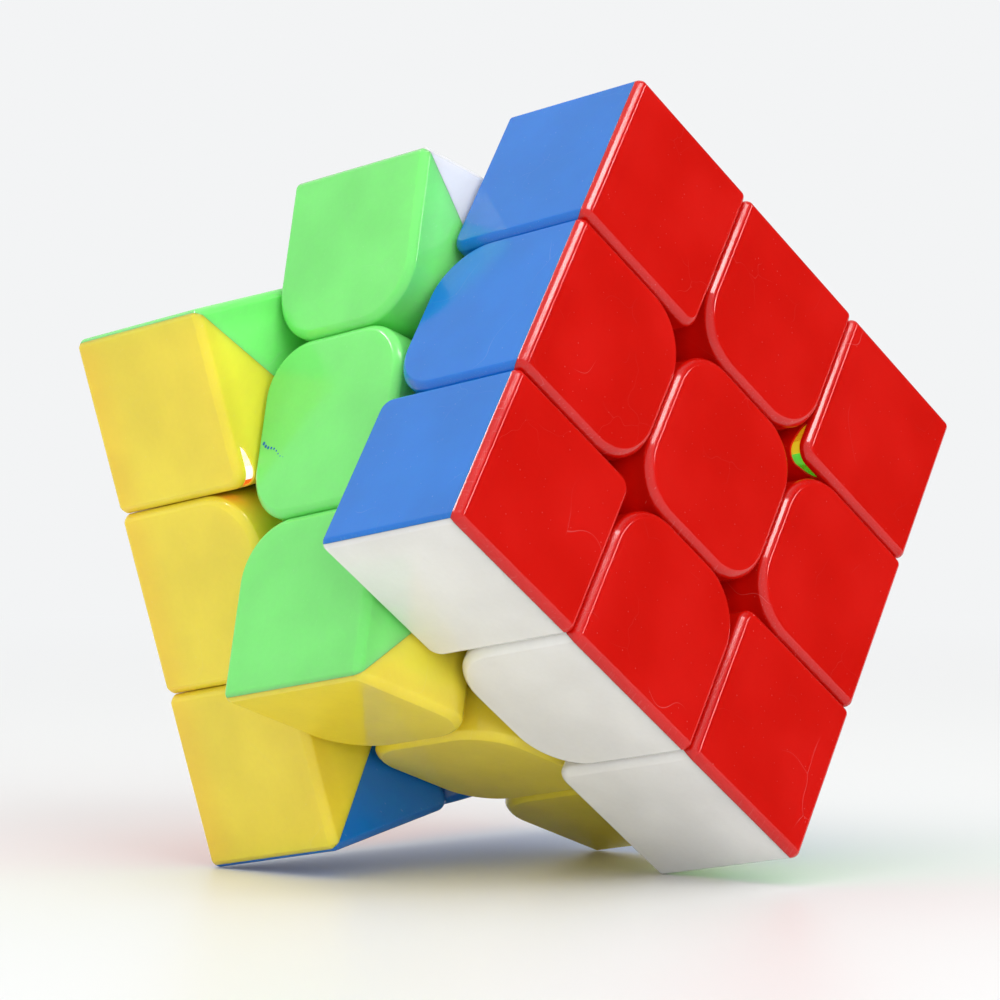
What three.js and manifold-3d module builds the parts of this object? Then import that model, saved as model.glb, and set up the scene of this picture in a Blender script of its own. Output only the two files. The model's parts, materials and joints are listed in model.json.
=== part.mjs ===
// A stickerless 3x3x3 twisty puzzle cube, in millimetres, standing on three of its corners
// with its three layers twisted against each other.
//
// The puzzle is drawn about its core. X is the axis that the red, middle and orange layers turn
// about, Y runs from the blue to the green centre and Z from the white to the yellow centre.
// Every surface where pieces slide past each other is a plane square to an axis or a sphere
// round the core, so each layer turns freely about its own axis:
//   outside the track sphere the pieces part at the seam planes,
//   inside it they part at the foot planes, which lie nearer the core.
// So the feet of the corners are held under the edges, and the feet of the edges under the
// centres, which the tension screws and their springs hold to the core.
import * as THREE from "three";
import { mergeVertices } from "three/addons/utils/BufferGeometryUtils.js";
import Module from "manifold-3d";

// ---- Driving dimensions ----

const CUBE_WIDTH = 56;
const SEAM = 9.55; // core to the seam planes between the layers
const SEAM_GAP = 0.3; // clearance between neighbouring pieces at the surface
const SHELL_GAP = 0.2; // clearance between the two shells of an edge piece
const BEVEL = 0.7; // broken rim round each coloured face
const WALL = 1.7; // thickness of the moulded shells
const EDGE_ROUND = 6.3; // inner corners of an edge piece's face
const CENTRE_ROUND = 5.7; // corners of a centre piece's face
const CORNER_ROUND = 1.8; // inner corner of a corner piece's face

const TRACK_RADIUS = 20.5; // sphere that the feet slide under
const TRACK_GAP = 0.7;
const FOOT_SEAM = 5.6; // core to the foot planes
const FOOT_GAP = 0.6;
const FOOT_INNER_RADIUS = 15.5;
const NECK_OVERLAP = 1.2; // how far a neck runs into the shell and the foot that it joins
const DRAIN_RADIUS = 1.2; // moulding hole through a corner's foot into its hollow

const CAP_SEAM = 22.6; // core to the joint between a centre's cap and its base
const CAP_GAP = 0.3;
const STEM_RADIUS = 5.1;
const STEM_BOTTOM = 9.7;
const CUP_RADIUS = 4.1; // bore that holds the spring
const CUP_FLOOR = 12;
const SCREW_HOLE_RADIUS = 1.5;

const CORE_RADIUS = 7.4;
const ARM_RADIUS = 4.2;
const ARM_LENGTH = 9.4;
const CORE_HOLE_DEPTH = 7;

const SHANK_RADIUS = 1.15;
const SHANK_END = 3.2;
const FLANGE_BOTTOM = 18.9;
const FLANGE_RADIUS = 3.5;
const FLANGE_TOP = 19.5;
const HEAD_RADIUS = 2.6;
const HEAD_TOP = 21.2;
const RECESS_LENGTH = 3.2;
const RECESS_WIDTH = 0.9;
const RECESS_DEPTH = 1.1;

const SPRING_RADIUS = 2.9; // to the middle of the wire
const SPRING_WIRE_RADIUS = 0.35;
const SPRING_TURNS = 4.5;
const SPRING_END_GAP = 0.3;

// How far each outer layer is turned against the middle layer, in degrees about X.
const RED_TWIST = 161;
const ORANGE_TWIST = -59.4;

// Mesh resolution
const ARC_LENGTH = 2.3; // longest step along a rounded outline
const BALL_DETAIL = 3;
const CORE_DETAIL = 1;
const ROUND_SIDES = 12;
const WIRE_SIDES = 4;
const WIRE_STEPS_PER_TURN = 7;
const STANCE_PASSES = 4; // rounds of settling the three feet on the ground

// ---- Derived dimensions ----

const HALF = CUBE_WIDTH / 2;
const INNER_LIMIT = SEAM - SEAM_GAP / 2; // middle-layer side of a seam
const OUTER_LIMIT = SEAM + SEAM_GAP / 2; // outer-layer side of a seam
const FOOT_INNER_LIMIT = FOOT_SEAM - FOOT_GAP / 2;
const FOOT_OUTER_LIMIT = FOOT_SEAM + FOOT_GAP / 2;
const SHELL_RADIUS = TRACK_RADIUS + TRACK_GAP / 2;
const FOOT_RADIUS = TRACK_RADIUS - TRACK_GAP / 2;
const CAP_BOTTOM = CAP_SEAM + CAP_GAP / 2;
const BASE_TOP = CAP_SEAM - CAP_GAP / 2;

// ---- Colours and directions ----

const MATERIALS = {
  red: plastic(0xcf160c),
  orange: plastic(0xff6a00),
  green: plastic(0x38d142),
  blue: plastic(0x1a5cc2),
  yellow: plastic(0xe8c81c),
  white: plastic(0xe6e4df),
  core: plastic(0x8f9499),
  steel: new THREE.MeshStandardMaterial({ color: 0xb4b7ba, roughness: 0.3, metalness: 1 }),
};

const FACES = {
  red: new THREE.Vector3(1, 0, 0),
  orange: new THREE.Vector3(-1, 0, 0),
  green: new THREE.Vector3(0, 1, 0),
  blue: new THREE.Vector3(0, -1, 0),
  yellow: new THREE.Vector3(0, 0, 1),
  white: new THREE.Vector3(0, 0, -1),
};
const SIDE_COLOURS = ["white", "green", "yellow", "blue"]; // in order round the X axis

function plastic(color) {
  return new THREE.MeshStandardMaterial({ color, roughness: 0.2, metalness: 0 });
}

// ---- Solids ----

const wasm = await Module();
wasm.setup();

// A closed three.js geometry as a solid that can be joined and cut.
function solidOf(geometry) {
  geometry.deleteAttribute("normal");
  geometry.deleteAttribute("uv");
  const merged = mergeVertices(geometry);
  return new wasm.Manifold(
    new wasm.Mesh({
      numProp: 3,
      vertProperties: merged.attributes.position.array,
      triVerts: new Uint32Array(merged.index.array),
    }),
  );
}

function geometryOf(solid) {
  const mesh = solid.getMesh();
  const geometry = new THREE.BufferGeometry();
  geometry.setAttribute("position", new THREE.BufferAttribute(mesh.vertProperties, 3));
  geometry.setIndex(new THREE.BufferAttribute(mesh.triVerts, 1));
  return geometry;
}

function ball(radius, detail = BALL_DETAIL) {
  return solidOf(new THREE.IcosahedronGeometry(radius, detail));
}

// A box between two opposite corners.
function block(low, high) {
  const [width, depth, height] = high.map((value, i) => value - low[i]);
  const middle = high.map((value, i) => (value + low[i]) / 2);
  return solidOf(new THREE.BoxGeometry(width, depth, height).translate(...middle));
}

// A round rod along Z.
function rod(radius, bottom, top) {
  const geometry = new THREE.CylinderGeometry(radius, radius, top - bottom, ROUND_SIDES);
  return solidOf(geometry.rotateX(Math.PI / 2).translate(0, 0, (top + bottom) / 2));
}

// The part of a solid between two spheres round the core.
function between(solid, innerRadius, outerRadius) {
  return solid.intersect(ball(outerRadius)).subtract(ball(innerRadius));
}

// ---- Faces ----

// A rectangle with its own radius at each corner, counted anticlockwise from the lowest one.
function roundedRectangle([lowX, lowY], [highX, highY], radii) {
  const corners = [
    [lowX + radii[0], lowY + radii[0], Math.PI],
    [highX - radii[1], lowY + radii[1], 1.5 * Math.PI],
    [highX - radii[2], highY - radii[2], 0],
    [lowX + radii[3], highY - radii[3], 0.5 * Math.PI],
  ];
  const points = corners.flatMap(([x, y, start], i) => {
    const steps = Math.ceil((0.5 * Math.PI * radii[i]) / ARC_LENGTH);
    return Array.from({ length: steps + 1 }, (_, step) => {
      const angle = start + (steps ? (0.5 * Math.PI * step) / steps : 0);
      return new THREE.Vector2(x + radii[i] * Math.cos(angle), y + radii[i] * Math.sin(angle));
    });
  });
  return new THREE.Shape(points);
}

// The outlines of the three kinds of face, seen along Z, drawn in by inset all round.
function centreFace(inset) {
  const reach = INNER_LIMIT - inset;
  return roundedRectangle([-reach, -reach], [reach, reach], Array(4).fill(CENTRE_ROUND - inset));
}

function edgeFace(inset) {
  const reach = INNER_LIMIT - inset;
  const round = EDGE_ROUND - inset;
  const low = [OUTER_LIMIT + inset, -reach];
  return roundedRectangle(low, [HALF - inset, reach], [round, 0, 0, round]);
}

function cornerFace(inset) {
  const low = OUTER_LIMIT + inset;
  const round = Math.max(CORNER_ROUND - inset, 0);
  return roundedRectangle([low, low], [HALF - inset, HALF - inset], [round, 0, 0, 0]);
}

// A face outline drawn out from the core to height, with a broken rim.
function prism(face, height, bevel) {
  return new THREE.ExtrudeGeometry(face, {
    depth: height - 2 * bevel,
    bevelEnabled: bevel > 0,
    bevelThickness: bevel,
    bevelSize: bevel,
    bevelOffset: -bevel,
    bevelSegments: 1,
  }).translate(0, 0, bevel);
}

// What all the given turns of a face's prism have in common.
function commonPrism(face, turns, inset, bevel) {
  const prisms = turns.map((turn) => {
    return solidOf(prism(face(inset), HALF - inset, bevel).applyMatrix4(turn));
  });
  return prisms.reduce((common, next) => common.intersect(next));
}

const NO_TURN = new THREE.Matrix4();
const SWAP_X_Z = new THREE.Matrix4().makeRotationAxis(new THREE.Vector3(1, 0, 1).normalize(), Math.PI);
const DIAGONAL = new THREE.Vector3(1, 1, 1).normalize();
const THIRD_TURNS = [0, 1, 2].map((third) => {
  return new THREE.Matrix4().makeRotationAxis(DIAGONAL, (third * 2 * Math.PI) / 3);
});

// ---- Pieces, each drawn in one standard place ----

// A shell with a hollow inside, a neck through the track sphere and a foot under it.
function cubie(face, turns, neckBlock, footBlock) {
  const shell = commonPrism(face, turns, 0, BEVEL).subtract(ball(SHELL_RADIUS));
  const hollow = commonPrism(face, turns, WALL, 0).subtract(ball(SHELL_RADIUS + WALL));
  const neck = between(neckBlock, FOOT_RADIUS - NECK_OVERLAP, SHELL_RADIUS + NECK_OVERLAP);
  const foot = between(footBlock, FOOT_INNER_RADIUS, FOOT_RADIUS);
  return shell.add(neck).add(foot).subtract(hollow);
}

// The corner piece in the corner that +X, +Y and +Z share.
function cornerPiece() {
  const neckBlock = block(Array(3).fill(OUTER_LIMIT), Array(3).fill(HALF));
  const footBlock = block(Array(3).fill(FOOT_OUTER_LIMIT), Array(3).fill(HALF));
  const toDiagonal = new THREE.Quaternion().setFromUnitVectors(new THREE.Vector3(0, 0, 1), DIAGONAL);
  const drain = new THREE.CylinderGeometry(DRAIN_RADIUS, DRAIN_RADIUS, HALF, ROUND_SIDES / 2);
  drain.rotateX(Math.PI / 2).translate(0, 0, HALF / 2).applyQuaternion(toDiagonal);
  return cubie(cornerFace, THIRD_TURNS, neckBlock, footBlock).subtract(solidOf(drain));
}

// The +Z shell of the edge piece between the +Z and +X faces, which part where x = z.
function edgeShell() {
  const neckBlock = block([OUTER_LIMIT, -FOOT_INNER_LIMIT, OUTER_LIMIT], [HALF, FOOT_INNER_LIMIT, HALF]);
  const footLow = [FOOT_OUTER_LIMIT, -FOOT_INNER_LIMIT, FOOT_OUTER_LIMIT];
  const footBlock = block(footLow, [HALF, FOOT_INNER_LIMIT, HALF]);
  const otherShell = new THREE.BoxGeometry(2 * CUBE_WIDTH, 2 * CUBE_WIDTH, 2 * CUBE_WIDTH);
  otherShell.translate(CUBE_WIDTH - SHELL_GAP / 2, 0, 0).rotateY(Math.PI / 4);
  const whole = cubie(edgeFace, [NO_TURN, SWAP_X_Z], neckBlock, footBlock);
  return whole.subtract(solidOf(otherShell));
}

// The inner half of a centre piece on +Z: a plate under the cap and a cup for the spring.
function centreBase() {
  const plate = solidOf(prism(centreFace(0), BASE_TOP, 0)).subtract(ball(SHELL_RADIUS));
  return plate
    .add(rod(STEM_RADIUS, STEM_BOTTOM, BASE_TOP))
    .subtract(rod(CUP_RADIUS, CUP_FLOOR, HALF))
    .subtract(rod(SCREW_HOLE_RADIUS, 0, HALF));
}

// The coloured cap of a centre piece on +Z.
function centreCap() {
  const above = block([-HALF, -HALF, CAP_BOTTOM], [HALF, HALF, CUBE_WIDTH]);
  const hollow = solidOf(prism(centreFace(WALL), HALF - WALL, 0));
  return solidOf(prism(centreFace(0), HALF, BEVEL)).intersect(above).subtract(hollow);
}

// The ball in the middle, with a drilled arm towards each centre.
function core() {
  const along = Object.values(FACES).map((direction) => {
    return new THREE.Matrix4().makeRotationFromQuaternion(facing(direction)).elements;
  });
  const arm = rod(ARM_RADIUS, 0, ARM_LENGTH);
  const hole = rod(SCREW_HOLE_RADIUS, ARM_LENGTH - CORE_HOLE_DEPTH, HALF);
  const body = along.reduce((solid, turn) => solid.add(arm.transform(turn)), ball(CORE_RADIUS, CORE_DETAIL));
  return along.reduce((solid, turn) => solid.subtract(hole.transform(turn)), body);
}

// A tension screw on +Z, with a flange for the spring and a cross recess.
function tensionScrew() {
  const profile = [
    [0, SHANK_END],
    [SHANK_RADIUS, SHANK_END],
    [SHANK_RADIUS, FLANGE_BOTTOM],
    [FLANGE_RADIUS, FLANGE_BOTTOM],
    [FLANGE_RADIUS, FLANGE_TOP],
    [HEAD_RADIUS, FLANGE_TOP],
    [HEAD_RADIUS, HEAD_TOP],
    [0, HEAD_TOP],
  ].map(([radius, height]) => new THREE.Vector2(radius, height));
  const turned = solidOf(new THREE.LatheGeometry(profile, ROUND_SIDES).rotateX(Math.PI / 2));
  const slot = [RECESS_LENGTH / 2, RECESS_WIDTH / 2];
  const recess = [slot, [...slot].reverse()].map(([x, y]) => {
    return block([-x, -y, HEAD_TOP - RECESS_DEPTH], [x, y, HALF]);
  });
  return turned.subtract(recess[0].add(recess[1]));
}

// The line that the wire of a spring on +Z follows.
class Helix extends THREE.Curve {
  getPoint(t, target = new THREE.Vector3()) {
    const low = CUP_FLOOR + SPRING_END_GAP + SPRING_WIRE_RADIUS;
    const high = FLANGE_BOTTOM - SPRING_END_GAP - SPRING_WIRE_RADIUS;
    const angle = 2 * Math.PI * SPRING_TURNS * t;
    const x = SPRING_RADIUS * Math.cos(angle);
    return target.set(x, SPRING_RADIUS * Math.sin(angle), low + (high - low) * t);
  }
}

function spring() {
  const section = Array.from({ length: WIRE_SIDES }, (_, i) => {
    const angle = (2 * Math.PI * i) / WIRE_SIDES;
    return new THREE.Vector2(Math.cos(angle), Math.sin(angle)).multiplyScalar(SPRING_WIRE_RADIUS);
  });
  const wire = new THREE.ExtrudeGeometry(new THREE.Shape(section), {
    steps: Math.ceil(SPRING_TURNS * WIRE_STEPS_PER_TURN),
    extrudePath: new Helix(),
  });
  return solidOf(wire);
}

// ---- Placing ----

// The turn that takes +Z to a piece's own direction, and +X to its second direction if it has one.
function facing(direction, second = new THREE.Vector3(direction.y, direction.z, direction.x)) {
  const third = new THREE.Vector3().crossVectors(direction, second);
  const basis = new THREE.Matrix4().makeBasis(second, third, direction);
  return new THREE.Quaternion().setFromRotationMatrix(basis);
}

function piece(name, geometry, material, quaternion) {
  const mesh = new THREE.Mesh(geometry, MATERIALS[material]);
  mesh.name = name;
  mesh.quaternion.copy(quaternion);
  return mesh;
}

const shapes = {
  corner: geometryOf(cornerPiece()),
  edge: geometryOf(edgeShell()),
  base: geometryOf(centreBase()),
  cap: geometryOf(centreCap()),
  core: geometryOf(core()),
  screw: geometryOf(tensionScrew()),
  spring: geometryOf(spring()),
};

function centre(colour) {
  const turn = facing(FACES[colour]);
  return [
    piece(`centre_cap_${colour}`, shapes.cap, colour, turn),
    piece(`centre_base_${colour}`, shapes.base, colour, turn),
  ];
}

function edge(first, second) {
  return [
    [first, second],
    [second, first],
  ].map(([own, other]) => {
    const name = `edge_${first}_${second}_${own}_shell`;
    return piece(name, shapes.edge, own, facing(FACES[own], FACES[other]));
  });
}

// A corner's standard place is turned so that its own Z and X follow two of its faces, taken in
// the order that leaves the third face on its Y.
function corner(layer, first, second) {
  const third = new THREE.Vector3().crossVectors(FACES[layer], FACES[first]);
  const inOrder = third.dot(FACES[second]) > 0 ? first : second;
  const turn = facing(FACES[layer], FACES[inOrder]);
  return piece(`corner_${layer}_${first}_${second}`, shapes.corner, layer, turn);
}

function screwAndSpring(colour) {
  const turn = facing(FACES[colour]);
  return [
    piece(`tension_screw_${colour}`, shapes.screw, "steel", turn),
    piece(`tension_spring_${colour}`, shapes.spring, "steel", turn),
  ];
}

// The neighbour of each side colour, going round the X axis.
const sidePairs = SIDE_COLOURS.map((colour, i) => [colour, SIDE_COLOURS[(i + 1) % SIDE_COLOURS.length]]);

function outerLayer(colour, twist) {
  const layer = new THREE.Group();
  layer.add(...centre(colour));
  SIDE_COLOURS.forEach((side) => layer.add(...edge(colour, side)));
  sidePairs.forEach(([first, second]) => layer.add(corner(colour, first, second)));
  layer.rotation.x = THREE.MathUtils.degToRad(twist);
  return layer;
}

function middleLayer() {
  const layer = new THREE.Group();
  layer.add(piece("core", shapes.core, "core", new THREE.Quaternion()));
  SIDE_COLOURS.forEach((side) => layer.add(...centre(side)));
  sidePairs.forEach(([first, second]) => layer.add(...edge(first, second)));
  Object.keys(FACES).forEach((colour) => layer.add(...screwAndSpring(colour)));
  return layer;
}

// ---- Stance ----

// The vertex of a mesh that lies furthest against the up direction.
function lowestPoint(mesh, up) {
  mesh.updateWorldMatrix(true, false);
  const positions = mesh.geometry.getAttribute("position");
  const points = Array.from({ length: positions.count }, (_, i) => {
    return new THREE.Vector3().fromBufferAttribute(positions, i).applyMatrix4(mesh.matrixWorld);
  });
  return points.reduce((low, point) => (point.dot(up) < low.dot(up) ? point : low));
}

// The upward direction when the lowest points of three pieces all touch the ground. It starts
// from a rough guess, the pieces' own middles, and settles over a few passes.
function upFrom(meshes) {
  const below = new THREE.Vector3();
  meshes.forEach((mesh) => below.add(new THREE.Box3().setFromObject(mesh).getCenter(new THREE.Vector3())));
  let up = below.negate().normalize();
  for (let pass = 0; pass < STANCE_PASSES; pass++) {
    const [a, b, c] = meshes.map((mesh) => lowestPoint(mesh, up));
    const normal = b.clone().sub(a).cross(c.clone().sub(a)).normalize();
    up = normal.multiplyScalar(Math.sign(normal.dot(up)));
  }
  return up;
}

const puzzle = new THREE.Group();
puzzle.add(middleLayer(), outerLayer("red", RED_TWIST), outerLayer("orange", ORANGE_TWIST));
puzzle.updateMatrixWorld(true);

const feet = ["corner_red_white_green", "edge_yellow_blue_yellow_shell", "corner_orange_yellow_blue"];
const up = upFrom(feet.map((name) => puzzle.getObjectByName(name)));
const side = new THREE.Vector3().crossVectors(up, FACES.red).normalize();
const heading = new THREE.Vector3().crossVectors(side, up);
const toPuzzle = new THREE.Matrix4().makeBasis(heading, side, up);
puzzle.quaternion.setFromRotationMatrix(toPuzzle.transpose());
puzzle.updateMatrixWorld(true);

// The frame's origin is on the ground, under the middle of the puzzle's bounding box.
const bounds = new THREE.Box3().setFromObject(puzzle, true);
const middle = bounds.getCenter(new THREE.Vector3());
puzzle.position.set(-middle.x, -middle.y, -bounds.min.z);

const part = new THREE.Group();
part.add(puzzle);
export default part;
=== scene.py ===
"""A stickerless twisty puzzle cube, standing on three of its corners with its layers out of line."""

import json
import math

import bmesh
import bpy
from mathutils import Matrix, Vector


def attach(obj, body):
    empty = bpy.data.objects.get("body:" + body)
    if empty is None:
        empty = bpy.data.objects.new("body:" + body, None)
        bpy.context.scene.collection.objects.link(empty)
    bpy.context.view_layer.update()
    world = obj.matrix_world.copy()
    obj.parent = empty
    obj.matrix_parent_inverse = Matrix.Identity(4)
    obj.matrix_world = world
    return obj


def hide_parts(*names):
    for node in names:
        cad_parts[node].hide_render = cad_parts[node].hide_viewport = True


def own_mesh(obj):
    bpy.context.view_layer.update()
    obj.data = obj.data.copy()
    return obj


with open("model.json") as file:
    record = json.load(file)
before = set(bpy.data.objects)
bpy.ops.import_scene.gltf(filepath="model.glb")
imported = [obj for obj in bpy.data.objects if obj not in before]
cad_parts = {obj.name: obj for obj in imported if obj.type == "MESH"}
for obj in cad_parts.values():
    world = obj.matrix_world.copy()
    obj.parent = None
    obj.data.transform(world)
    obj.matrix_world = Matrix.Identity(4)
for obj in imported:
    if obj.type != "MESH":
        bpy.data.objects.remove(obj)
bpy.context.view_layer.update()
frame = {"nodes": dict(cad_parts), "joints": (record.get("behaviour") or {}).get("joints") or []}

# ---- Driving dimensions, in millimetres ----

MM = 0.001
HALF = 28.0  # core to a coloured face
BEYOND = 2 * HALF  # from the core to somewhere past every face
SEAM = 9.55  # core to the seam planes between the layers
SEAM_GAP = 0.05
SHELL_GAP = 0.02  # between two coloured shells of one piece
LIP = 0.62  # how far a shell reaches round a rim, over its neighbour's mitre
WALL = 1.7
RIM = 0.85  # width of the moulded rim round each coloured face
RIM_PROFILE = 0.38  # 0.25 is a flat chamfer, 0.5 is round
EDGE_ROUND = 6.3
CENTRE_ROUND = 5.7
CORNER_ROUND = 1.8
ARC_STEPS = 14  # facets in a quarter of a rounded outline
RIM_STEPS = 8
BALL_STEPS = 96
SHARP_ANGLE, SPRING_SHARP_ANGLE = 30, 60  # degrees from which a crease is kept crisp

SLOT_TOP = 1.2  # from the face down to the slot in a corner's inner tip
SLOT_WIDTH = 1.25
SLOT_LENGTH = 7.4
SLOT_DEPTH = 0.2
SLOT_END = 0.02  # the share of the slot's width, squared, that is left at its two ends
SLOT_STEPS = 24
LINING = 0.5  # thickness of the coloured lining behind a slot

SMEAR_ENDS = ((-8.3, -1.1), (-5.2, -3.0))  # on the green centre's face
SMEAR_PATCHES = 9
SMEAR_WIDTH = 0.42
SMEAR_TAPER = 0.75  # the share of its width that it loses towards its far end
SMEAR_THICKNESS = 0.02
SMEAR_WAVES, SMEAR_SWAY = 9, SMEAR_WIDTH / 3

TRACK_RADIUS = 20.5  # sphere that the feet slide under
TRACK_GAP = 0.7
FOOT_SEAM = 5.6  # core to the seam planes between the feet
FOOT_GAP = 0.6
FOOT_INNER_RADIUS = 15.5
NECK_OVERLAP = 1.2  # how far the neck between shell and foot reaches into each
CAP_BOTTOM = 22.75

FLANGE_BOTTOM = 18.9  # a spring lies between the cup's floor and the flange of its screw
CUP_FLOOR = 12.0
SPRING_GAP = 0.05
SPRING_RADIUS = 2.9
SPRING_WIRE = 0.7
SPRING_TURNS = 5.5
SPRING_CLOSED = 0.75  # turns at each end that are closed flat
STEPS_IN_TURN = 32
WIRE_SIDES = 10

INNER = SEAM - SEAM_GAP / 2
OUTER = SEAM + SEAM_GAP / 2
FOOT_INNER = FOOT_SEAM - FOOT_GAP / 2
FOOT_OUTER = FOOT_SEAM + FOOT_GAP / 2
SHELL_RADIUS = TRACK_RADIUS + TRACK_GAP / 2
FOOT_RADIUS = TRACK_RADIUS - TRACK_GAP / 2

# How far each outer layer is turned against the middle layer, in degrees about the red axis.
TWISTS = {"core": 0, "red_layer": 161, "orange_layer": -59.4}
SIDE_COLOURS = ["white", "green", "yellow", "blue"]

# ---- Places, from the frame ----

joints = {joint["name"]: joint for joint in frame["joints"]}
CORE = Vector(joints["red_layer_turn"]["pos_m"])
COLOURS = ["red", "orange", "green", "blue", "yellow", "white"]
DIRECTIONS = {c: Vector(joints[f"{c}_centre_pull"]["axis"]) for c in COLOURS}
RED_AXIS = DIRECTIONS["red"]


def direction(colour, layer):
    """Which way a colour faces in a layer, with the layer turned as it stands."""
    return Matrix.Rotation(math.radians(TWISTS[layer]), 3, RED_AXIS) @ DIRECTIONS[colour]


def placing(first, second, layer):
    """The place of a shape drawn about the core with its face on +Z and its second side on +X."""
    z = direction(first, layer)
    x = direction(second, layer)
    turn = Matrix((x, z.cross(x), z)).transposed()
    return Matrix.Translation(CORE) @ turn.to_4x4() @ Matrix.Scale(MM, 4)


# ---- Shapes ----

X, Y, Z = Vector((1, 0, 0)), Vector((0, 1, 0)), Vector((0, 0, 1))


class Convex:
    """A convex solid kept as planes: what lies within distance of the core along each normal."""

    def __init__(self, planes):
        self.planes = planes

    def __and__(self, other):
        return Convex(self.planes + other.planes)

    def inset(self, depth):
        return Convex([(normal, distance - depth) for normal, distance in self.planes])

    def turned(self, matrix):
        return Convex([(matrix @ normal, distance) for normal, distance in self.planes])

    def mesh(self):
        bm = bmesh.new()
        bmesh.ops.create_cube(bm, size=2 * BEYOND)
        return self.clip(bm)

    def clip(self, bm):
        """Cuts a closed convex mesh by the planes and closes it again."""
        for normal, distance in self.planes:
            cut = bmesh.ops.bisect_plane(
                bm,
                geom=bm.verts[:] + bm.edges[:] + bm.faces[:],
                plane_co=normal * distance,
                plane_no=normal,
                clear_outer=True,
            )
            rim = [part for part in cut["geom_cut"] if isinstance(part, bmesh.types.BMEdge)]
            if rim:
                bmesh.ops.edgeloop_fill(bm, edges=rim)
        bmesh.ops.recalc_face_normals(bm, faces=bm.faces[:])
        return bm


def outline(x_low, y_low, y_high, rounds):
    """The walls of a face on +Z. rounds holds the radii of the low-x corners at y_low and y_high."""
    planes = [(-X, -x_low), (-Y, -y_low), (Y, y_high)]
    for y, side, radius in ((y_low, -1, rounds[0]), (y_high, 1, rounds[1])):
        if not radius:
            continue
        centre = Vector((x_low + radius, y - side * radius, 0))
        for step in range(1, ARC_STEPS):
            angle = math.pi / 2 * step / ARC_STEPS
            normal = Vector((-math.cos(angle), side * math.sin(angle), 0))
            planes.append((normal, centre.dot(normal) + radius))
    return Convex(planes)


def half_space(normal, distance):
    return Convex([(normal.normalized(), distance)])


SWAP_X_Z = Matrix.Rotation(math.pi, 3, X + Z)
THIRD_TURN = Matrix.Rotation(2 * math.pi / 3, 3, X + Y + Z)
MIRROR_X = Matrix.Diagonal((-1, 1, 1))


def add_object(name, bm):
    mesh = bpy.data.meshes.new(name)
    bm.to_mesh(mesh)
    bm.free()
    made = bpy.data.objects.new(name, mesh)
    bpy.context.scene.collection.objects.link(made)
    return made


def round_rims(bm, faces):
    """Rounds the rim of each face that lies in one of the given planes."""
    flat = 1e-4
    edges = []
    for edge in bm.edges:
        for normal, distance in faces.planes:
            if all(abs(vert.co.dot(normal) - distance) < flat for vert in edge.verts):
                edges.append(edge)
                break
    bmesh.ops.bevel(
        bm,
        geom=edges,
        offset=RIM,
        offset_type="OFFSET",
        segments=RIM_STEPS,
        profile=RIM_PROFILE,
        affect="EDGES",
        clamp_overlap=False,
    )
    return bm


def ball(radius):
    bm = bmesh.new()
    bmesh.ops.create_uvsphere(bm, u_segments=BALL_STEPS, v_segments=BALL_STEPS // 2, radius=radius)
    return bm


def combine(target, operation, bm):
    """Joins an object with a second solid, cuts it by that, or keeps what they share."""
    tool = add_object("tool", bm)
    boolean = target.modifiers.new("boolean", "BOOLEAN")
    boolean.operation = operation
    boolean.solver = "MANIFOLD"
    boolean.object = tool
    graph = bpy.context.evaluated_depsgraph_get()
    made = bpy.data.meshes.new_from_object(target.evaluated_get(graph))
    target.modifiers.clear()
    old = target.data
    target.data = made
    bpy.data.meshes.remove(old)
    bpy.data.meshes.remove(tool.data)
    return target


def finish_shape(shape, sharp_angle=SHARP_ANGLE):
    """An object's mesh, shaded smooth with flat faces kept flat and creases kept crisp."""
    mesh = shape.data
    mesh.polygons.foreach_set("use_smooth", [True] * len(mesh.polygons))
    mesh.set_sharp_from_angle(angle=math.radians(sharp_angle))
    weighted = shape.modifiers.new("weighted", "WEIGHTED_NORMAL")
    weighted.keep_sharp = True
    graph = bpy.context.evaluated_depsgraph_get()
    made = bpy.data.meshes.new_from_object(shape.evaluated_get(graph))
    bpy.data.objects.remove(shape)
    return made


def shell_shape(name, walls, faces, mitres, foot_block, slot=None):
    """A coloured shell of an edge or corner piece, with its share of the foot.

    walls holds the walls of the whole piece, faces its coloured faces, mitres the planes that
    part this shell from the piece's other shells, foot_block the walls of its foot, and slot a
    solid to cut away.
    """
    outer = mitres.clip(round_rims((walls & faces).mesh(), faces))
    shape = add_object(name, outer)
    combine(shape, "DIFFERENCE", ball(SHELL_RADIUS))
    hollow = add_object("hollow", ((walls & faces).inset(WALL) & mitres.inset(-WALL)).mesh())
    combine(hollow, "DIFFERENCE", ball(SHELL_RADIUS + WALL))
    foot = add_object("foot", (foot_block & faces & mitres).mesh())
    combine(foot, "INTERSECT", ball(FOOT_RADIUS))
    combine(foot, "DIFFERENCE", ball(FOOT_INNER_RADIUS))
    neck = add_object("neck", (walls.inset(WALL / 2) & foot_block & faces & mitres).mesh())
    combine(neck, "INTERSECT", ball(SHELL_RADIUS + NECK_OVERLAP))
    combine(neck, "DIFFERENCE", ball(FOOT_RADIUS - NECK_OVERLAP))
    for part, operation in ((hollow, "DIFFERENCE"), (neck, "UNION"), (foot, "UNION")):
        bm = bmesh.new()
        bm.from_mesh(part.data)
        combine(shape, operation, bm)
        bpy.data.meshes.remove(part.data)
    if slot:
        combine(shape, "DIFFERENCE", slot)
    return finish_shape(shape)


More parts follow.
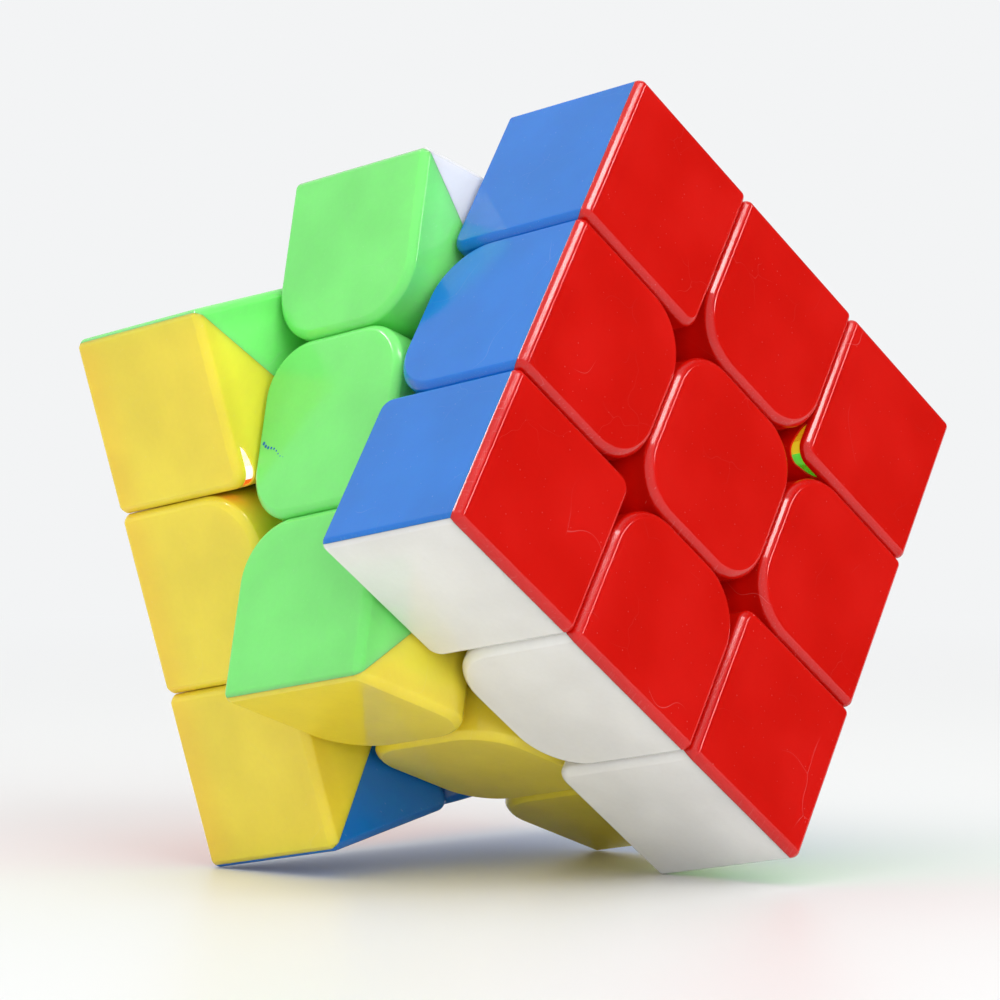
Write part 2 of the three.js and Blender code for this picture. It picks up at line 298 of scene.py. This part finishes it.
def tip_band(half, low, high):
    """A crescent band round a corner shell's inner tip, between two depths under its wall. half
    is 1 or -1 for the half of it on the wall that faces -X or -Y, and 0 for both."""
    bm = bmesh.new()
    middle = Vector((OUTER + CORNER_ROUND, OUTER + CORNER_ROUND, 0))
    bend = CORNER_ROUND * math.pi / 4
    start, end = (0 if half > 0 else -1), (0 if half < 0 else 1)
    sections = []
    for step in range(SLOT_STEPS + 1):
        share = start + (end - start) * step / SLOT_STEPS
        along = share * SLOT_LENGTH / 2
        angle = math.pi / 4 - max(-bend, min(bend, along)) / CORNER_ROUND
        normal = Vector((-math.cos(angle), -math.sin(angle), 0))
        beyond = math.copysign(max(abs(along) - bend, 0), along)
        wall = middle + normal * CORNER_ROUND + Vector((normal.y, -normal.x, 0)) * beyond
        depth = SLOT_WIDTH * max(1 - share * share, SLOT_END) ** 0.5
        top = HALF - SLOT_TOP
        corners = [(low, top), (low, top - depth), (high, top - depth), (high, top)]
        sections.append([bm.verts.new(wall - normal * inset + Z * height) for inset, height in corners])
    for section, following in zip(sections, sections[1:]):
        for side in range(4):
            after = (side + 1) % 4
            bm.faces.new((section[side], section[after], following[after], following[side]))
    bm.faces.new(sections[0])
    bm.faces.new(sections[-1])
    bmesh.ops.recalc_face_normals(bm, faces=bm.faces[:])
    return bm


def mitre(side, reach):
    """The plane that parts the +Z shell from the shell on that side. reach is 1 if the +Z shell
    laps over the rim that they share, -1 if the other one does, and 0 if they meet in the middle."""
    return half_space(side - Z, reach * LIP - SHELL_GAP / 2)


def edge_shape(reach):
    wall = outline(OUTER, -INNER, INNER, (EDGE_ROUND, EDGE_ROUND))
    faces = half_space(Z, HALF) & half_space(X, HALF)
    foot = Convex([(-X, -FOOT_OUTER), (-Z, -FOOT_OUTER), (Y, FOOT_INNER), (-Y, FOOT_INNER)])
    return shell_shape("edge", wall & wall.turned(SWAP_X_Z), faces, mitre(X, reach), foot)


def corner_shape(reach_x, reach_y, slot=None):
    wall = outline(OUTER, OUTER, BEYOND, (CORNER_ROUND, 0))
    turns = [THIRD_TURN, THIRD_TURN @ THIRD_TURN]
    walls = wall & wall.turned(turns[0]) & wall.turned(turns[1])
    faces = half_space(Z, HALF) & half_space(X, HALF) & half_space(Y, HALF)
    mitres = mitre(X, reach_x) & mitre(Y, reach_y)
    foot = Convex([(-X, -FOOT_OUTER), (-Y, -FOOT_OUTER), (-Z, -FOOT_OUTER)])
    return shell_shape("corner", walls, faces, mitres, foot, slot)


def cap_shape():
    wall = outline(-INNER, -INNER, INNER, (CENTRE_ROUND, CENTRE_ROUND))
    walls = wall & wall.turned(MIRROR_X)
    face = half_space(Z, HALF)
    shape = add_object("cap", round_rims((walls & face & half_space(-Z, -CAP_BOTTOM)).mesh(), face))
    hollow = walls.inset(WALL) & half_space(Z, HALF - WALL)
    combine(shape, "DIFFERENCE", hollow.mesh())
    return finish_shape(shape)


# ---- Materials ----

# Patterns are drawn in millimetres, and their scales are in cells per millimetre.
WARP = 0.5  # how far the cells whose borders are scratches are bent, as a share of a cell
SEED_SPREAD = 900.0  # how far apart the patterns of two pieces may lie
SHEAR = (0.7, 0.5)  # how a wall's height is laid out in the plane of its marks, along x and y
NOISE_SPAN, CLOUD_SPAN = (0.3, 0.7), (0.25, 0.75)  # a noise seldom leaves these

CLOUD_SCALE, GRAIN_SCALE, SWELL_SCALE, SCUFF_SCALE = 0.09, 1.7, 0.5, 4.0
CLOUD_TONE = (0.93, 1.04)  # the colour is multiplied by this from the darkest cloud to the palest
GRAIN_TONE = 0.03
SWELL_HEIGHT, GRAIN_HEIGHT, SCRATCH_DEPTH = 0.014, 0.0015, 0.006
GLOSS_SPAN = (0.11, 0.17)  # roughness from the darkest cloud to the palest

DEEP_SCRATCH, FINE_SCRATCH = (0.05, 0.04), (0.15, 0.03)  # scale and width
DEEP_SCRATCH_CLOUDS, FINE_SCRATCH_CLOUDS = (0.56, 0.66), (0.42, 0.34)  # clouds that bring them in
DUST = ((0.8, 0.07, 0.2), (0.25, 0.1, 0.3))  # scale, size, and share of the cells with a speck
SCUFF_PATCHES = (0.62, 0.72)
SCUFF_TOP, SCUFF_FOOT = (0.02, 0.2), (1.2, 0.7)  # depths without and with scuffs, at a rim's ends
PLAIN_SCUFF = 0.3  # how scuffed a piece is all over where its rims aren't known
DUST_STRENGTH, DEEP_STRENGTH, FINE_STRENGTH, SCUFF_STRENGTH = 0.3, 0.28, 0.16, 0.12
MARK_PALENESS, MARK_COVER, MARK_ROUGHNESS = 0.4, 0.45, 0.3

NYLON_COLOURS = ((0.035, 0.036, 0.04, 1), (0.06, 0.061, 0.065, 1))
NYLON_CLOUD_SCALE, NYLON_GRAIN_SCALE, NYLON_GRAIN_HEIGHT = 0.2, 3.0, 0.02
NYLON_GLOSS = (0.38, 0.55)
STEEL_COLOURS = ((0.62, 0.61, 0.58, 1), (0.42, 0.41, 0.39, 1))  # bright and dull
STEEL_STRETCH, STEEL_MARK_HEIGHT = (6.0, 0.4, 1.0), 0.006
STEEL_GLOSS = (0.18, 0.3)
DULL_SCALE, DULL_PATCHES, DULL_ROUGHNESS = 0.7, (0.5, 0.7), 0.15


class Graph:
    """The nodes of a material or a world, with a call for each kind that is used often."""

    def __init__(self, owner):
        owner.use_nodes = True
        self.nodes = owner.node_tree.nodes
        self.links = owner.node_tree.links

    def feed(self, socket, value):
        if isinstance(value, bpy.types.NodeSocket):
            self.links.new(value, socket)
        else:
            socket.default_value = value

    def add(self, kind, inputs, **settings):
        node = self.nodes.new(f"ShaderNode{kind}")
        for name, value in settings.items():
            setattr(node, name, value)
        for socket, value in inputs.items():
            self.feed(node.inputs[socket], value)
        return node

    def math(self, operation, a, b=0.0):
        return self.add("Math", {0: a, 1: b}, operation=operation).outputs[0]

    def vector(self, operation, a, b=(0, 0, 0)):
        return self.add("VectorMath", {0: a, 1: b}, operation=operation).outputs[0]

    def ramp(self, value, low, high, start=0.0, end=1.0):
        """A smooth step from start to end as the value goes from low to high."""
        settings = {"Value": value, "From Min": low, "From Max": high, "To Min": start, "To Max": end}
        return self.add("MapRange", settings, interpolation_type="SMOOTHSTEP").outputs[0]

    def noise(self, place, scale, detail=1.0, output="Fac"):
        settings = {"Vector": place, "Scale": scale, "Detail": detail}
        return self.add("TexNoise", settings, noise_dimensions="2D").outputs[output]

    def mix(self, share, a, b, blend="MIX"):
        node = self.add("Mix", {0: share, 6: a, 7: b}, data_type="RGBA", blend_type=blend)
        return node.outputs[2]

    def specks(self, place, scale, size, share):
        """Dust: small round dots in a few of the cells."""
        cells = self.add("TexVoronoi", {"Vector": place, "Scale": scale}, voronoi_dimensions="2D")
        dot = self.ramp(cells.outputs["Distance"], size * scale, size * scale / 2)
        lot = self.add("SeparateColor", {"Color": cells.outputs["Color"]}).outputs[0]
        return self.math("MULTIPLY", dot, self.math("LESS_THAN", lot, share))

    def hairlines(self, place, scale, width, patches):
        """Fine curved scratches: stretches of the borders between large warped cells."""
        warp = self.vector("SCALE", self.noise(place, 2 * scale, output="Color"))
        warp.node.inputs["Scale"].default_value = WARP / scale
        where = {"Vector": self.vector("ADD", place, warp), "Scale": scale}
        cells = self.add("TexVoronoi", where, feature="DISTANCE_TO_EDGE", voronoi_dimensions="2D")
        line = self.ramp(cells.outputs["Distance"], width * scale, 0.0)
        return self.math("MULTIPLY", line, patches)


def marking_place(graph, coordinates):
    """Where a point is in the plane of its piece's marks, and its depth under the piece's face, in
    millimetres. Each piece has its own shift, so that no two are marked alike."""
    seed = graph.math("MULTIPLY", graph.add("ObjectInfo", {}).outputs["Random"], SEED_SPREAD)
    x, y, z = graph.add("SeparateXYZ", {0: coordinates}).outputs
    along_x = graph.math("ADD", x, graph.math("MULTIPLY", z, SHEAR[0]))
    along_y = graph.math("ADD", y, graph.math("MULTIPLY", z, SHEAR[1]))
    shifted = {"X": graph.math("ADD", along_x, seed), "Y": graph.math("ADD", along_y, seed)}
    return graph.add("CombineXYZ", shifted).outputs[0], graph.math("SUBTRACT", HALF, z)


def node_place(graph):
    """The place of the marks on a node of the frame, whose points keep no place of their own."""
    metres = graph.add("TexCoord", {}).outputs["Object"]
    scaled = graph.vector("SCALE", metres)
    scaled.node.inputs["Scale"].default_value = 1 / MM
    return marking_place(graph, scaled)[0]


def tinted(colour, share):
    """A colour part of the way to white."""
    return (*(channel + (1 - channel) * share for channel in colour), 1)


def finish_material(graph, base, gloss, height, settings):
    """Feeds the shader. height is in millimetres, and settings holds values by socket name."""
    shader = graph.nodes["Principled BSDF"]
    bump = graph.add("Bump", {"Height": height, "Strength": 1.0, "Distance": MM}).outputs[0]
    inputs = {"Base Color": base, "Roughness": gloss, "Normal": bump, **settings}
    for name, value in inputs.items():
        graph.feed(shader.inputs[name], value)


# For each plastic its colour, how much brighter it looks deep in a seam, where light comes
# through the shells, and how far each of red, green and blue light spreads in it, as shares of the
# distance in millimetres that comes last.
PLASTICS = {
    "red": ((0.57, 0.005, 0.002), 1.5, (1.0, 0.12, 0.08), 1.2),
    "orange": ((1.0, 0.17, 0.003), 1.0, (1.0, 0.4, 0.08), 1.6),
    "green": ((0.20, 0.77, 0.18), 1.2, (0.4, 1.0, 0.3), 1.6),
    "blue": ((0.002, 0.165, 0.60), 1.0, (0.1, 0.3, 1.0), 1.0),
    "yellow": ((0.86, 0.69, 0.055), 1.15, (1.0, 0.9, 0.2), 1.8),
    "white": ((0.82, 0.81, 0.79), 1.0, (1.0, 0.95, 0.9), 1.4),
}
TRANSLUCENCY = {"red": 0.4, "blue": 0.4, "orange": 0.5, "green": 0.7, "yellow": 0.7, "white": 0.6}
ORANGE_GLOW = {"yellow": 0.22, "white": 0.08}  # how much painted orange light, for light from the orange plastic beside them, these take on
ORANGE_GLOW_REACH = 6.0
ORANGE_GLOW_COLOUR = (1.0, 0.36, 0.02, 1)
SEAM_GLOW_DEPTHS, SEAM_ORANGE_GLOW_DEPTHS = (RIM, 4 * RIM), (RIM, 3 * RIM)  # where they come in
SEAM_ORANGE_GLOW = 2  # how much stronger the painted orange light is in a seam
SEAM_ORANGE_GLOW_FADE = (HALF / 3, HALF / 2)  # how far from the orange face the seams' share fades out
LIT_THROUGH = {  # the light that comes through a slot's lining: its colour and strength
    "yellow": ((0.55, 0.42, 0.0), 0.55),
    "green": ((0.02, 0.6, 0.005), 0.6),
    # The white is painted glow for light through orange plastic, not a white shell.
    "white": ((1.0, 0.85, 0.8), 0.8),
    "orange": ((1.0, 0.08, 0.01), 0.8),
}


def plastic(name, paint, shaped=True, lit=False):
    """Glossy moulded plastic with mottling, dust, hairline scratches and scuffed rims, and with painted
    glow deep in the seams of red, green and yellow and, on yellow and white, painted orange light near
    the orange faces. It is laid out on a shape's own place, or on the frame's where the piece has none.
    Where it is lit, it glows with painted light that stands for light coming through it from behind."""
    colour, seam_glow, spread, spread_depth = PLASTICS[paint]
    material = bpy.data.materials.new(name)
    graph = Graph(material)
    if shaped:
        local = graph.add("Attribute", {}, attribute_name="local").outputs["Vector"]
        place, depth = marking_place(graph, local)
        rim = graph.math("MULTIPLY", graph.ramp(depth, *SCUFF_TOP), graph.ramp(depth, *SCUFF_FOOT))
        deep = graph.ramp(depth, *SEAM_GLOW_DEPTHS, 1.0, seam_glow)
    else:
        place = node_place(graph)
        rim, deep = PLAIN_SCUFF, 1.0

    cloud = graph.noise(place, CLOUD_SCALE, detail=2.0)
    grain = graph.noise(place, GRAIN_SCALE)
    tone = graph.ramp(cloud, *CLOUD_SPAN, *CLOUD_TONE)
    tone = graph.math("ADD", tone, graph.math("MULTIPLY", grain, GRAIN_TONE))
    tone = graph.math("MULTIPLY", tone, deep)
    tint = graph.add("CombineXYZ", {"X": tone, "Y": tone, "Z": tone}).outputs[0]
    base = graph.mix(1.0, (*colour, 1), tint, "MULTIPLY")
    # Painted orange light, near the orange faces and deep in the seams, for light that comes through the
    # orange plastic.
    if shaped and paint in ORANGE_GLOW:
        orange_glow = ORANGE_GLOW[paint]
        beside = graph.add("Attribute", {}, attribute_name="orange_distance").outputs["Fac"]
        share = graph.ramp(beside, ORANGE_GLOW_REACH, 0.0, 0.0, orange_glow)
        in_seam = graph.ramp(depth, *SEAM_ORANGE_GLOW_DEPTHS)
        in_seam = graph.math("SUBTRACT", in_seam, graph.ramp(beside, *SEAM_ORANGE_GLOW_FADE))
        share = graph.math("MAXIMUM", share, graph.math("MULTIPLY", in_seam, SEAM_ORANGE_GLOW * orange_glow))
        base = graph.mix(share, base, ORANGE_GLOW_COLOUR)

    deep_scratch = graph.hairlines(place, *DEEP_SCRATCH, graph.ramp(cloud, *DEEP_SCRATCH_CLOUDS))
    fine_scratch = graph.hairlines(place, *FINE_SCRATCH, graph.ramp(cloud, *FINE_SCRATCH_CLOUDS))
    patches = graph.ramp(graph.noise(place, SCUFF_SCALE, detail=3.0), *SCUFF_PATCHES)
    dust = graph.math("MAXIMUM", *(graph.specks(place, *specks) for specks in DUST))
    marks = graph.math("MULTIPLY", dust, DUST_STRENGTH)
    for mark, strength in (
        (deep_scratch, DEEP_STRENGTH),
        (fine_scratch, FINE_STRENGTH),
        (graph.math("MULTIPLY", rim, patches), SCUFF_STRENGTH),
    ):
        marks = graph.math("MAXIMUM", marks, graph.math("MULTIPLY", mark, strength))
    cover = graph.math("MULTIPLY", marks, MARK_COVER)
    base = graph.mix(cover, base, tinted(colour, MARK_PALENESS))
    gloss = graph.ramp(cloud, *NOISE_SPAN, *GLOSS_SPAN)
    gloss = graph.math("ADD", gloss, graph.math("MULTIPLY", marks, MARK_ROUGHNESS))

    height = graph.math("MULTIPLY", graph.noise(place, SWELL_SCALE), SWELL_HEIGHT)
    height = graph.math("ADD", height, graph.math("MULTIPLY", grain, GRAIN_HEIGHT))
    height = graph.math("SUBTRACT", height, graph.math("MULTIPLY", deep_scratch, SCRATCH_DEPTH))
    settings = {
        "IOR": 1.5,
        "Subsurface Weight": TRANSLUCENCY[paint],
        "Subsurface Radius": spread,
        "Subsurface Scale": spread_depth * MM,
    }
    if lit:
        light, strength = LIT_THROUGH[paint]
        settings.update({"Emission Color": (*light, 1), "Emission Strength": strength})
        material.cycles.emission_sampling = "NONE"
    finish_material(graph, base, gloss, height, settings)
    return material


def nylon():
    """Dark grey moulded nylon with a fine sparked grain, for the core."""
    material = bpy.data.materials.new("core_nylon")
    graph = Graph(material)
    place = node_place(graph)
    grain = graph.noise(place, NYLON_GRAIN_SCALE, detail=2.0)
    cloud = graph.noise(place, NYLON_CLOUD_SCALE, detail=2.0)
    base = graph.mix(graph.ramp(cloud, *NOISE_SPAN), *NYLON_COLOURS)
    gloss = graph.ramp(grain, *NOISE_SPAN, *NYLON_GLOSS)
    finish_material(graph, base, gloss, graph.math("MULTIPLY", grain, NYLON_GRAIN_HEIGHT), {})
    return material


def steel():
    """Bright zinc-plated steel with drawing marks and a few dull patches."""
    material = bpy.data.materials.new("plated_steel")
    graph = Graph(material)
    place = node_place(graph)
    marks = graph.noise(graph.vector("MULTIPLY", place, STEEL_STRETCH), 1.0, detail=2.0)
    dull = graph.ramp(graph.noise(place, DULL_SCALE, detail=2.0), *DULL_PATCHES)
    base = graph.mix(dull, *STEEL_COLOURS)
    gloss = graph.ramp(marks, *NOISE_SPAN, *STEEL_GLOSS)
    gloss = graph.math("ADD", gloss, graph.math("MULTIPLY", dull, DULL_ROUGHNESS))
    height = graph.math("MULTIPLY", marks, STEEL_MARK_HEIGHT)
    finish_material(graph, base, gloss, height, {"Metallic": 1.0})
    return material


materials = {colour: plastic(f"{colour}_plastic", colour) for colour in COLOURS}
inner_materials = {colour: plastic(f"{colour}_inner_plastic", colour, shaped=False) for colour in COLOURS}
lining_materials = {colour: plastic(f"{colour}_lining", colour, lit=True) for colour in LIT_THROUGH}
steel_material = steel()


def dress_nodes():
    """New materials for the nodes of the frame that stay."""
    dressing = {"core": nylon()}
    for colour in COLOURS:
        dressing[f"tension_screw_{colour}"] = steel_material
        dressing[f"centre_base_{colour}"] = inner_materials[colour]
    for name, material in dressing.items():
        node = frame["nodes"][name]
        node.data.materials.clear()
        node.data.materials.append(material)


dress_nodes()

# ---- Pieces ----

LAPS = {"red": 2, "orange": 0}  # of two colours the one with the higher rank laps over the rim
SIDE_RANK = 1

# For each shell with a slot in its tip, the lining's colour on the wall that faces away from each
# neighbour. The white lining in the orange, green and yellow corner, which has no white shell, is painted
# light: a glow that stands for light coming through the orange plastic.
SLOTS = {
    ("corner_red_green_yellow", "red"): {"green": "yellow", "yellow": "green"},
    ("corner_orange_green_yellow", "yellow"): {"orange": "white", "green": "orange"},
}


def slotted_shape(reach_x, reach_y):
    return corner_shape(reach_x, reach_y, tip_band(0, -SLOT_DEPTH, SLOT_DEPTH))


def lining_shape(half):
    return finish_shape(add_object("lining", tip_band(half, SLOT_DEPTH, SLOT_DEPTH + LINING)))


def smear_shape():
    """A scuff left by another plastic: a thin flake, broad at one end and drawn out to the other."""
    bm = bmesh.new()
    start, end = (Vector((*point, HALF)) for point in SMEAR_ENDS)
    across = (end - start).cross(Z).normalized()
    for patch in range(SMEAR_PATCHES):
        share = patch / (SMEAR_PATCHES - 1)
        size = SMEAR_WIDTH * (1 - SMEAR_TAPER * share) / 2
        middle = start.lerp(end, share) + across * math.sin(SMEAR_WAVES * share) * SMEAR_SWAY
        flake = Matrix.Translation(middle) @ Matrix.Diagonal((size, size, SMEAR_THICKNESS, 1))
        bmesh.ops.create_icosphere(bm, subdivisions=2, radius=1, matrix=flake)
    return finish_shape(add_object("smear", bm))


MAKERS = {
    "edge": edge_shape,
    "corner": corner_shape,
    "slotted": slotted_shape,
    "cap": cap_shape,
    "lining": lining_shape,
    "smear": smear_shape,
}
shapes = {}


def shape_mesh(kind, *details):
    """A shape's mesh in its standard place, made once, with that place kept in its points."""
    key = (kind, *details)
    if key not in shapes:
        mesh = MAKERS[kind](*details)
        place = [value for vertex in mesh.vertices for value in vertex.co]
        mesh.attributes.new("local", "FLOAT_VECTOR", "POINT").data.foreach_set("vector", place)
        shapes[key] = mesh
    return shapes[key].copy()


def reach(own, other):
    """1 if a colour laps over the rim that it shares with another, -1 if the other does, else 0."""
    difference = LAPS.get(own, SIDE_RANK) - LAPS.get(other, SIDE_RANK)
    return (difference > 0) - (difference < 0)


def piece(name, shape, colour, place, body, node, material=None):
    """Places a shape as a piece of a body, in its plastic or the material given. Its points keep
    how far under the orange faces they are."""
    mesh = shape_mesh(*shape)
    mesh.transform(place)
    mesh.materials.clear()
    mesh.materials.append(material or materials[colour])
    distances = [HALF - (vertex.co - CORE).dot(DIRECTIONS["orange"]) / MM for vertex in mesh.vertices]
    mesh.attributes.new("orange_distance", "FLOAT", "POINT").data.foreach_set("value", distances)
    made = bpy.data.objects.new(name, mesh)
    bpy.context.scene.collection.objects.link(made)
    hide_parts(node)
    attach(made, body)
    return made


def add_edge(first, second, layer):
    for own, other in ((first, second), (second, first)):
        node = f"edge_{first}_{second}_{own}_shell"
        place = placing(own, other, layer)
        piece(f"moulded_{node}", ("edge", reach(own, other)), own, place, layer, node)


def add_corner(outer, first, second, layer):
    node = f"corner_{outer}_{first}_{second}"
    cycle = [outer, first, second]
    if direction(outer, layer).cross(direction(first, layer)).dot(direction(second, layer)) < 0:
        cycle.reverse()
    for i, own in enumerate(cycle):
        on_x, on_y = cycle[(i + 1) % 3], cycle[(i + 2) % 3]
        place = placing(own, on_x, layer)
        linings = SLOTS.get((node, own))
        kind = "slotted" if linings else "corner"
        shape = (kind, reach(own, on_x), reach(own, on_y))
        piece(f"moulded_{node}_{own}_shell", shape, own, place, layer, node)
        if linings:
            for half, away_from in ((1, on_x), (-1, on_y)):
                colour = linings[away_from]
                # The linings glow with painted light that comes through the slot.
                name, shape = f"slot_lining_{node}_{colour}", ("lining", half)
                piece(name, shape, colour, place, layer, node, lining_materials[colour])


def add_centre(colour):
    layer = f"{colour}_layer" if f"{colour}_layer" in TWISTS else "core"
    other = "red" if layer == "core" else "white"
    node = f"centre_cap_{colour}"
    piece(f"moulded_{node}", ("cap",), colour, placing(colour, other, layer), f"{colour}_centre", node)


def spring_shape():
    """A compression spring wound about Z, with its last coils closed flat."""
    bm = bmesh.new()
    low = CUP_FLOOR + SPRING_WIRE / 2 + SPRING_GAP
    high = FLANGE_BOTTOM - SPRING_WIRE / 2 - SPRING_GAP
    steps = round(SPRING_TURNS * STEPS_IN_TURN)
    rings = []
    for step in range(steps + 1):
        turned = step / STEPS_IN_TURN
        rise = (turned - SPRING_CLOSED) / (SPRING_TURNS - 2 * SPRING_CLOSED)
        middle = Z * (low + (high - low) * min(max(rise, 0), 1))
        outward = Matrix.Rotation(2 * math.pi * turned, 3, Z) @ X
        ring = []
        for side in range(WIRE_SIDES):
            angle = 2 * math.pi * side / WIRE_SIDES
            offset = outward * math.cos(angle) + Z * math.sin(angle)
            ring.append(bm.verts.new(middle + outward * SPRING_RADIUS + offset * SPRING_WIRE / 2))
        rings.append(ring)
    for ring, following in zip(rings, rings[1:]):
        for side in range(WIRE_SIDES):
            after = (side + 1) % WIRE_SIDES
            bm.faces.new((ring[side], ring[after], following[after], following[side]))
    bm.faces.new(rings[0])
    bm.faces.new(rings[-1])
    bmesh.ops.recalc_face_normals(bm, faces=bm.faces[:])
    return finish_shape(add_object("spring", bm), SPRING_SHARP_ANGLE)


def add_spring(colour):
    """The spring stays on its screw's flange, fixed to the core."""
    node = f"tension_spring_{colour}"
    mesh = SPRING.copy()
    mesh.transform(placing(colour, "white" if colour in ("red", "orange") else "red", "core"))
    mesh.materials.clear()
    mesh.materials.append(steel_material)
    made = bpy.data.objects.new(f"wound_{node}", mesh)
    bpy.context.scene.collection.objects.link(made)
    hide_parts(node)
    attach(made, "core")
    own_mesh(made)


SPRING = spring_shape()
side_pairs = list(zip(SIDE_COLOURS, SIDE_COLOURS[1:] + SIDE_COLOURS[:1]))
for outer in ("red", "orange"):
    for side in SIDE_COLOURS:
        add_edge(outer, side, f"{outer}_layer")
    for first, second in side_pairs:
        add_corner(outer, first, second, f"{outer}_layer")
for first, second in side_pairs:
    add_edge(first, second, "core")
for colour in COLOURS:
    add_centre(colour)
    add_spring(colour)
green_place = placing("green", "red", "core")
piece("blue_scuff_on_green_centre", ("smear",), "blue", green_place, "green_centre", "centre_cap_green")

# ---- Camera ----

AZIMUTH, ELEVATION, ROLL = 42.19, 1.39, -0.10
LENS, SENSOR = 150.1, 36.0
CORE_IN_VIEW = Vector((1.491, -1.076, -429.8))  # the core from the camera: right, up, back

azimuth, elevation = math.radians(AZIMUTH), math.radians(ELEVATION)
level = math.cos(elevation)
back = Vector((math.sin(azimuth) * level, -math.cos(azimuth) * level, math.sin(elevation)))
right = Z.cross(back).normalized()
up = back.cross(right)
turn = Matrix((right, up, back)).transposed() @ Matrix.Rotation(math.radians(ROLL), 3, Z)
camera = bpy.data.objects.new("camera", bpy.data.cameras.new("camera"))
camera.data.lens = LENS
camera.data.sensor_width = SENSOR
camera.matrix_world = Matrix.Translation(CORE - turn @ (CORE_IN_VIEW * MM)) @ turn.to_4x4()
bpy.context.scene.collection.objects.link(camera)
bpy.context.scene.camera = camera

# ---- Studio ----

BACKDROP = (0.896, 0.905, 0.913)
FLOOR_COLOUR = (0.80, 0.80, 0.79)
FLOOR_ROUGHNESS, FLOOR_SPECULAR = 0.4, 0.15
FLOOR_REACH = 3.0
FLOOR_NEAR, FLOOR_FAR = 0.12, 0.5  # where the lit floor starts and ends fading into the backdrop
ROOM_LIGHT = 1.0
DARK_END = Vector((0.64, 0.74, 0.2))  # the dark end of the room, which the red face mirrors
DARK_SPAN, DARK_LIGHT = (0.25, 0.75), 0.02  # cosines of the angle from it over which it darkens
RIM_BOX_HEIGHT = 2.8 * SEAM  # above the core, along the red face's right edge


def studio_floor():
    """A lit floor that fades into the backdrop away from the cube."""
    bm = bmesh.new()
    bmesh.ops.create_grid(bm, x_segments=2, y_segments=2, size=FLOOR_REACH)
    floor = add_object("floor", bm)
    material = bpy.data.materials.new("floor")
    material.cycles.emission_sampling = "NONE"
    graph = Graph(material)
    shader = graph.nodes["Principled BSDF"]
    shader.inputs["Base Color"].default_value = (*FLOOR_COLOUR, 1)
    shader.inputs["Roughness"].default_value = FLOOR_ROUGHNESS
    shader.inputs["Specular IOR Level"].default_value = FLOOR_SPECULAR
    where = graph.add("NewGeometry", {}).outputs["Position"]
    away = graph.add("VectorMath", {0: where}, operation="LENGTH").outputs["Value"]
    glow = graph.add("Emission", {"Color": (*BACKDROP, 1), "Strength": 1.0}).outputs[0]
    fade = graph.ramp(away, FLOOR_NEAR, FLOOR_FAR)
    blend = graph.add("MixShader", {0: fade, 1: shader.outputs[0], 2: glow}).outputs[0]
    graph.feed(graph.nodes["Material Output"].inputs["Surface"], blend)
    floor.data.materials.append(material)


def studio_world():
    """A pale backdrop, and for the object's own light a white room with one dark end."""
    world = bpy.data.worlds.new("world")
    bpy.context.scene.world = world
    graph = Graph(world)
    towards = graph.add("TexCoord", {}).outputs["Generated"]
    dot = graph.add("VectorMath", {0: towards, 1: DARK_END.normalized()}, operation="DOT_PRODUCT")
    room = graph.ramp(dot.outputs["Value"], *DARK_SPAN, 1.0, DARK_LIGHT)
    rays = graph.add("LightPath", {}).outputs
    mirrored = graph.mix(rays["Is Glossy Ray"], (ROOM_LIGHT,) * 3 + (1,), room)
    background = graph.nodes["Background"]
    background.inputs["Color"].default_value = (*BACKDROP, 1)
    graph.feed(background.inputs["Strength"], graph.mix(rays["Is Camera Ray"], mirrored, (1, 1, 1, 1)))


def softbox(name, towards, distance, size, along, radiance, target=CORE, mirrored=True, lights=True):
    """A rectangular lamp facing the target, with size its extent along a direction and across it,
    in metres. Where mirrored is off it doesn't show in gloss, and where lights is off only gloss
    shows it."""
    z = towards.normalized()
    y = (along - along.dot(z) * z).normalized()
    lamp = bpy.data.lights.new(name, "AREA")
    lamp.shape = "RECTANGLE"
    lamp.size_y, lamp.size = size
    lamp.energy = radiance * math.pi * size[0] * size[1]
    made = bpy.data.objects.new(name, lamp)
    frame_of_lamp = Matrix((y.cross(z), y, z)).transposed().to_4x4()
    made.matrix_world = Matrix.Translation(target + z * distance) @ frame_of_lamp
    made.visible_glossy = mirrored
    made.visible_diffuse = lights
    bpy.context.scene.collection.objects.link(made)


def mirrored_by(first, second, share, layer="red_layer"):
    """What the rim between two colours mirrors to the camera, where it has turned that share of the
    way from the first colour's face to the second's."""
    angle = share * math.pi / 2
    normal = direction(first, layer) * math.cos(angle) + direction(second, layer) * math.sin(angle)
    return 2 * normal.dot(back) * normal - back


def studio_lamps():
    softbox(
        "overhead_soft", Vector((-0.1, -0.25, 1)), distance=0.8, size=(0.9, 0.9), along=X,
        radiance=0.6, mirrored=False,
    )
    softbox(
        "right_soft", Vector((0.9, -0.2, 0.6)), distance=0.8, size=(0.7, 0.7), along=Z,
        radiance=2.0, mirrored=False,
    )
    # The others draw the highlights on the rims of the red layer.
    softbox(
        "side_strip", mirrored_by("red", "blue", 0.2), distance=1.0, size=(0.6, 0.06), along=back,
        radiance=30, lights=False,
    )
    softbox(
        "top_strip", mirrored_by("red", "blue", 0.8), distance=1.0, size=(0.6, 0.08), along=back,
        radiance=25, lights=False,
    )
    yellow_side = direction("yellow", "red_layer")
    upper_right = CORE + (RED_AXIS * HALF + yellow_side * RIM_BOX_HEIGHT) * MM
    softbox(
        "rim_box", mirrored_by("red", "blue", 0.5), distance=0.35, size=(0.05, 0.13),
        along=yellow_side, radiance=15, target=upper_right, lights=False,
    )


bpy.context.scene.view_settings.view_transform = "Standard"

studio_floor()
studio_world()
studio_lamps()
